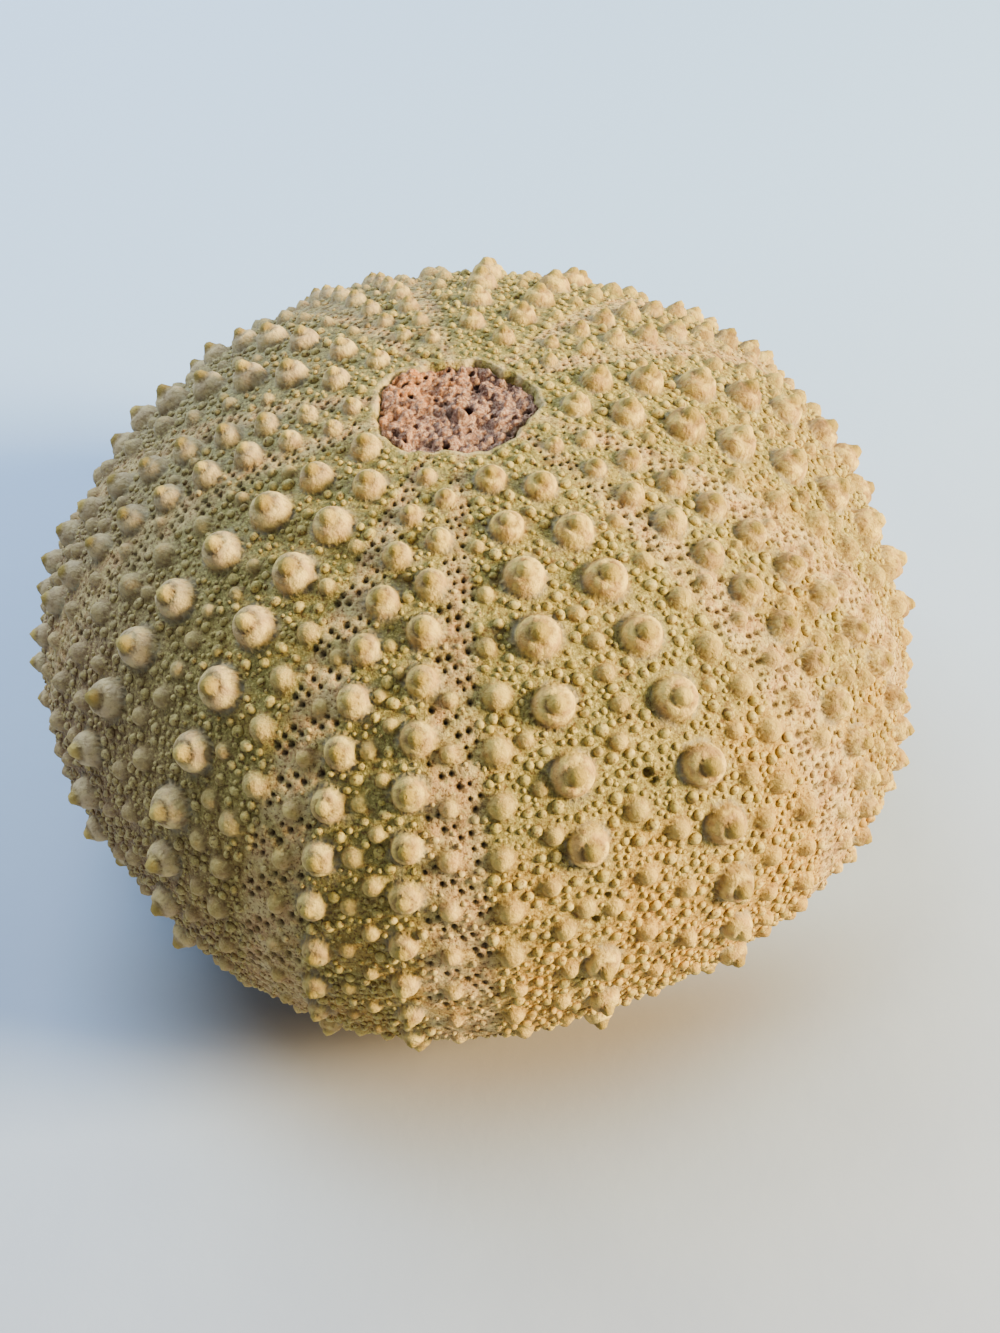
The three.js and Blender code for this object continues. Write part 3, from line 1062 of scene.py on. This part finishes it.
def granule_material():
    paint = Paint("granule_calcite", 0.7, 0.35)
    ground = ground_colour(paint)
    bead = paint.mix(paint.mark("tint"), BEAD, BEAD_PALE)
    # Painted cool light: beads turn grey towards the left.
    bead = paint.mix(paint.times(paint.across((-1, 0.2, 0), 0, 22), 0.6), bead, BEAD_GREY)
    bead = paint.mix(paint.times(paint.mark("porous"), 0.5), bead, PORE_PALE)
    # Painted shade: a bead keeps its own colour at the top but fades to the darker ground colour low down
    # and to umber at its foot, for the shade between the beads.
    colour = paint.mix(paint.band(paint.mark("crown"), 0.0, 0.75, 0.1, 0.75), ground, bead)
    foot = paint.band(paint.mark("crown"), 0.3, -0.1, 0.0, 0.8)
    colour = paint.mix(foot, speckled(paint, colour), UMBER)
    amber = paint.band(paint.noise(3.0), 0.5, 0.7, 0, 0.8)
    colour = paint.mix(paint.times(amber, paint.across((0.5, -0.5, -0.8), -6, 16)), colour, AMBER)
    return paint.finish(colour, [(paint.noise(0.14, 3.0), 0.035)])


ROCK_PINK = linear(182, 143, 120)
ROCK_BROWN = linear(112, 72, 54)
ROCK_ORANGE = linear(202, 134, 78)
ROCK_DARK = linear(60, 32, 22)
ROCK_PALE = linear(222, 192, 166)


def rock_material():
    paint = Paint("cemented_rock", 0.85, 0.25)
    grain = paint.noise(0.28, 5.0, 0.7)
    colour = paint.mix(paint.band(grain, 0.36, 0.62), ROCK_BROWN, ROCK_PINK)
    orange = paint.band(paint.noise(0.9), 0.35, 0.6)
    colour = paint.mix(paint.times(paint.across((-0.8, 0.5, 0), -0.6, 3.6), orange), colour, ROCK_ORANGE)
    crumbs = paint.noise(0.15, 4.0, 0.75)
    colour = paint.mix(paint.band(crumbs, 0.5, 0.38, 0.0, 0.75), colour, ROCK_BROWN)
    colour = paint.mix(paint.band(crumbs, 0.52, 0.64, 0.0, 0.7), colour, ROCK_PALE)
    # Painted shade: the rock's hollows are painted dark.
    colour = paint.mix(paint.band(paint.mark("hollow"), 0.0, 0.38), colour, ROCK_DARK)
    return paint.finish(colour, [(grain, 0.12), (crumbs, 0.12)])


FLOOR_GREY = linear(164, 174, 195)
FLOOR_PALE = linear(170, 180, 199)
FLOOR_BLUE = linear(170, 202, 240)
# Painted shadow colour for the floor close under the front of the test.
FLOOR_PAINTED_SHADE = linear(134, 123, 109)


def floor_material():
    paint = Paint("pale_floor", 0.6, 0.3)
    near = paint.mix(paint.band(paint.noise(14, 3.0), 0.3, 0.7), FLOOR_GREY, FLOOR_PALE)
    # Painted light: the floor turns brighter and bluer towards the back.
    colour = paint.mix(paint.across((-0.3, 1, 0), -60, 70), near, FLOOR_BLUE)
    # Painted shadow: the floor is darker and warmer close round the front of the test, standing in for its
    # contact shadow and the warm light it throws back.
    painted_contact_shade = paint.times(paint.round_origin(24, 37), paint.across((0, -1, 0), 13, 24))
    colour = paint.mix(painted_contact_shade, colour, FLOOR_PAINTED_SHADE)
    return paint.finish(colour, [(paint.noise(1.4, 4.0), 0.02)])


# ---- camera, light and floor

CAMERA_DISTANCE = 93.0
CAMERA_TARGET = Vector((1.4, -0.7, 8.8))
CAMERA_ELEVATION = math.radians(51.09)
CAMERA_TURN = math.radians(-0.86)
CAMERA_ROLL = math.radians(2.64)
FOCAL_SHARE = 0.9995            # focal length over the picture's height
SENSOR_HEIGHT = 36
NEAREST = 0.001                 # metres

# Place, target, size, power in watts and colour of the two lamps.
KEY = ((338, -65, 165), (0, 0, 12), 110, 7.6, (1.0, 0.82, 0.49))
WINDOW = ((-150, 260, 300), (0, 0, 0), 320, 3.0, (0.68, 0.84, 1.0))
SKY_COLOUR = (0.76, 0.87, 1.0, 1)
SKY_STRENGTH = 0.46
FLOOR_HALF = 3                  # metres


def turned(ahead):
    """Turn of a camera or lamp that looks along a direction, upright."""
    return ahead.to_track_quat("-Z", "Y").to_matrix().to_4x4()


def place_camera():
    ahead = Vector((math.sin(CAMERA_TURN) * math.cos(CAMERA_ELEVATION),
                    math.cos(CAMERA_TURN) * math.cos(CAMERA_ELEVATION), -math.sin(CAMERA_ELEVATION)))
    data = bpy.data.cameras.new("camera")
    data.sensor_fit = "VERTICAL"
    data.sensor_height = SENSOR_HEIGHT
    data.lens = SENSOR_HEIGHT * FOCAL_SHARE
    data.clip_start = NEAREST
    camera = bpy.data.objects.new("camera", data)
    bpy.context.scene.collection.objects.link(camera)
    place = CAMERA_TARGET - ahead * CAMERA_DISTANCE
    roll = Matrix.Rotation(CAMERA_ROLL, 4, ahead)
    camera.matrix_world = Matrix.Translation(place * MM) @ (roll @ turned(ahead))
    bpy.context.scene.camera = camera


def area_light(name, place, target, size, power, colour):
    data = bpy.data.lights.new(name, "AREA")
    data.size = size * MM
    data.energy = power
    data.color = colour
    lamp = bpy.data.objects.new(name, data)
    bpy.context.scene.collection.objects.link(lamp)
    ahead = (Vector(target) - Vector(place)).normalized()
    lamp.matrix_world = Matrix.Translation(Vector(place) * MM) @ turned(ahead)


def light_scene():
    area_light("key", *KEY)
    area_light("window", *WINDOW)
    world = bpy.data.worlds.new("sky")
    world.use_nodes = True
    background = world.node_tree.nodes["Background"]
    background.inputs["Color"].default_value = SKY_COLOUR
    background.inputs["Strength"].default_value = SKY_STRENGTH
    bpy.context.scene.world = world


def lay_floor():
    mesh = bpy.data.meshes.new("floor")
    corners = [(-1, -1), (1, -1), (1, 1), (-1, 1)]
    mesh.from_pydata([(x * FLOOR_HALF, y * FLOOR_HALF, 0) for x, y in corners], [], [(0, 1, 2, 3)])
    mesh.materials.append(floor_material())
    floor = bpy.data.objects.new("floor", mesh)
    bpy.context.scene.collection.objects.link(floor)


# ---- the whole scene

place_camera()
light_scene()
lay_floor()

bumps = lay_tubercles()
bump_tree = tree_of(bumps.places[:len(bumps.rows)])
granules = lay_granules(bumps, bump_tree)
bead_paint = granule_material()
rock_paint = rock_material()

test = make_test(bumps, bump_tree, test_material())
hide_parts("urchin_test")

coarse = granules[:, 2] >= COARSE
above = granules[:, 0] < ARC_AMBITUS
make_granules("granules_coarse_upper", granules[coarse & above], COARSE_SIDES, bead_paint)
make_granules("granules_coarse_under", granules[coarse & ~above], COARSE_SIDES, bead_paint)
make_granules("granules_fine_upper", granules[~coarse & above], FINE_SIDES, bead_paint)
make_granules("granules_fine_under", granules[~coarse & ~above], FINE_SIDES, bead_paint)
make_rock("apical_rock", apical_rock_edge, apical_level, 1, 41, ROCK_SPACING, rock_paint)
make_rock("mouth_rock", mouth_rock_edge, mouth_level, -1, 51, MOUTH_ROCK_SPACING, rock_paint)
